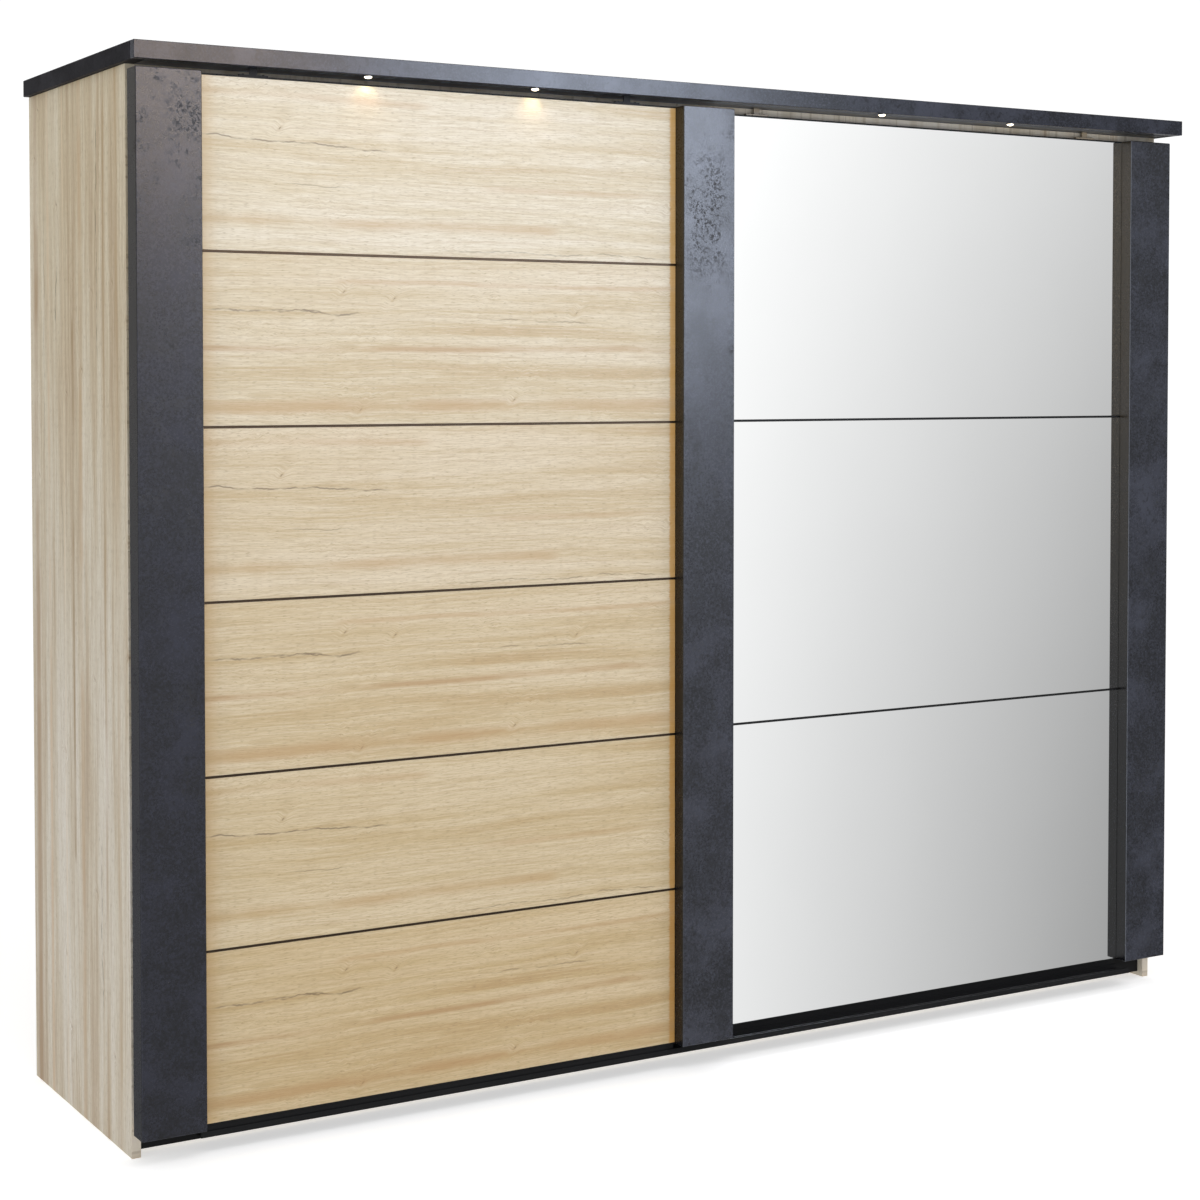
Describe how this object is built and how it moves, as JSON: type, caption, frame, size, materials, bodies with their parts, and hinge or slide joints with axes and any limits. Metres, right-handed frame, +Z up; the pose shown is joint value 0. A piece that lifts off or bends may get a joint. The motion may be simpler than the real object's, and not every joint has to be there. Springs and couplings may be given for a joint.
{
  "type": "sliding door wardrobe",
  "caption": "Wide wardrobe with a front sliding door of oak-look boards and a rear sliding door of mirror, dark pilasters and a cornice with light spots.",
  "frame": {"origin": "on the floor, below the middle of the wardrobe's overall box", "axes": "+X to the right along the width as seen from the front, the doors face -Y, +Z up"},
  "size_m": [2.7, 0.716, 2.155],
  "materials": {
    "oak_board": "satin melamine, light oak grain across the door boards",
    "oak_carcass": "satin melamine, light oak grain running upward",
    "slate": "satin melamine, dark slate look with fine mottling",
    "black": "satin black",
    "bronze_trim": "dark bronze anodised, satin",
    "aluminium": "grey anodised, satin",
    "steel": "bright chromed tube",
    "sand_coat": "sand-coloured powder coat",
    "mirror": "silvered float glass",
    "backing": "thin fibreboard, smooth",
    "roller_plastic": "moulded black polyamide",
    "stop_rubber": "matt",
    "light_lens": "warm white diffusing lens in a small round body"
  },
  "bodies": {
    "carcass": {"side_panel_left": "oak_carcass", "side_panel_right": "oak_carcass", "top_panel": "oak_carcass", "bottom_panel": "oak_carcass", "centre_partition": "oak_carcass", "hat_shelf_left": "oak_carcass", "hat_shelf_right": "oak_carcass", "back_panel_left": "backing", "back_panel_right": "backing", "plinth": "black", "rear_plinth": "black", "bottom_guide_rail": "black", "cornice_front": "slate", "cornice_left": "slate", "cornice_right": "slate", "hanging_rail_left": "steel", "hanging_rail_right": "steel", "light_spot_1": "light_lens", "light_spot_2": "light_lens", "light_spot_3": "light_lens", "light_spot_4": "light_lens", "top_track": "aluminium", "oak_stop_left": "stop_rubber", "oak_stop_right": "stop_rubber", "mirror_stop_left": "stop_rubber", "mirror_stop_right": "stop_rubber"},
    "oak_door": {"oak_pilaster_left": "slate", "oak_pilaster_centre": "slate", "oak_panel_1": "oak_board", "oak_panel_2": "oak_board", "oak_panel_3": "oak_board", "oak_panel_4": "oak_board", "oak_panel_5": "oak_board", "oak_panel_6": "oak_board", "oak_trim_1": "bronze_trim", "oak_trim_2": "bronze_trim", "oak_trim_3": "bronze_trim", "oak_trim_4": "bronze_trim", "oak_trim_5": "bronze_trim", "oak_door_top_profile": "black", "oak_door_runner": "black", "oak_hanger_left": "black", "oak_hanger_right": "black"},
    "mirror_door": {"mirror_pilaster_right": "slate", "mirror_edge_profile": "black", "mirror_backing": "backing", "mirror_pane_1": "mirror", "mirror_pane_2": "mirror", "mirror_pane_3": "mirror", "mirror_trim_1": "black", "mirror_trim_2": "black", "mirror_door_top_profile": "black", "mirror_door_runner": "black", "mirror_hanger_left": "sand_coat", "mirror_hanger_right": "sand_coat"},
    "oak_roller_left": {"oak_roller_left": "roller_plastic"},
    "oak_roller_right": {"oak_roller_right": "roller_plastic"},
    "mirror_roller_left": {"mirror_roller_left": "roller_plastic"},
    "mirror_roller_right": {"mirror_roller_right": "roller_plastic"}
  },
  "joints": [
    {"name": "oak_door_slide", "type": "slide", "parent": "carcass", "child": "oak_door", "axis": [1, 0, 0], "range_m": [0, 1.208]},
    {"name": "mirror_door_slide", "type": "slide", "parent": "carcass", "child": "mirror_door", "axis": [-1, 0, 0], "range_m": [0, 1.208]},
    {"name": "oak_roller_left_spin", "type": "hinge", "parent": "oak_door", "child": "oak_roller_left", "pos_m": [-1.0977, -0.318, 2.1323], "axis": [0, 1, 0], "range_deg": [0, 7691]},
    {"name": "oak_roller_right_spin", "type": "hinge", "parent": "oak_door", "child": "oak_roller_right", "pos_m": [-0.2463, -0.318, 2.1323], "axis": [0, 1, 0], "range_deg": [0, 7691]},
    {"name": "mirror_roller_left_spin", "type": "hinge", "parent": "mirror_door", "child": "mirror_roller_left", "pos_m": [0.1223, -0.271, 2.1323], "axis": [0, -1, 0], "range_deg": [0, 7691]},
    {"name": "mirror_roller_right_spin", "type": "hinge", "parent": "mirror_door", "child": "mirror_roller_right", "pos_m": [1.0977, -0.271, 2.1323], "axis": [0, -1, 0], "range_deg": [0, 7691]}
  ],
  "couplings": [
    {"joint": "oak_roller_left_spin", "follows": "oak_door_slide", "rad_per_m": 111.11},
    {"joint": "oak_roller_right_spin", "follows": "oak_door_slide", "rad_per_m": 111.11},
    {"joint": "mirror_roller_left_spin", "follows": "mirror_door_slide", "rad_per_m": 111.11},
    {"joint": "mirror_roller_right_spin", "follows": "mirror_door_slide", "rad_per_m": 111.11}
  ]
}
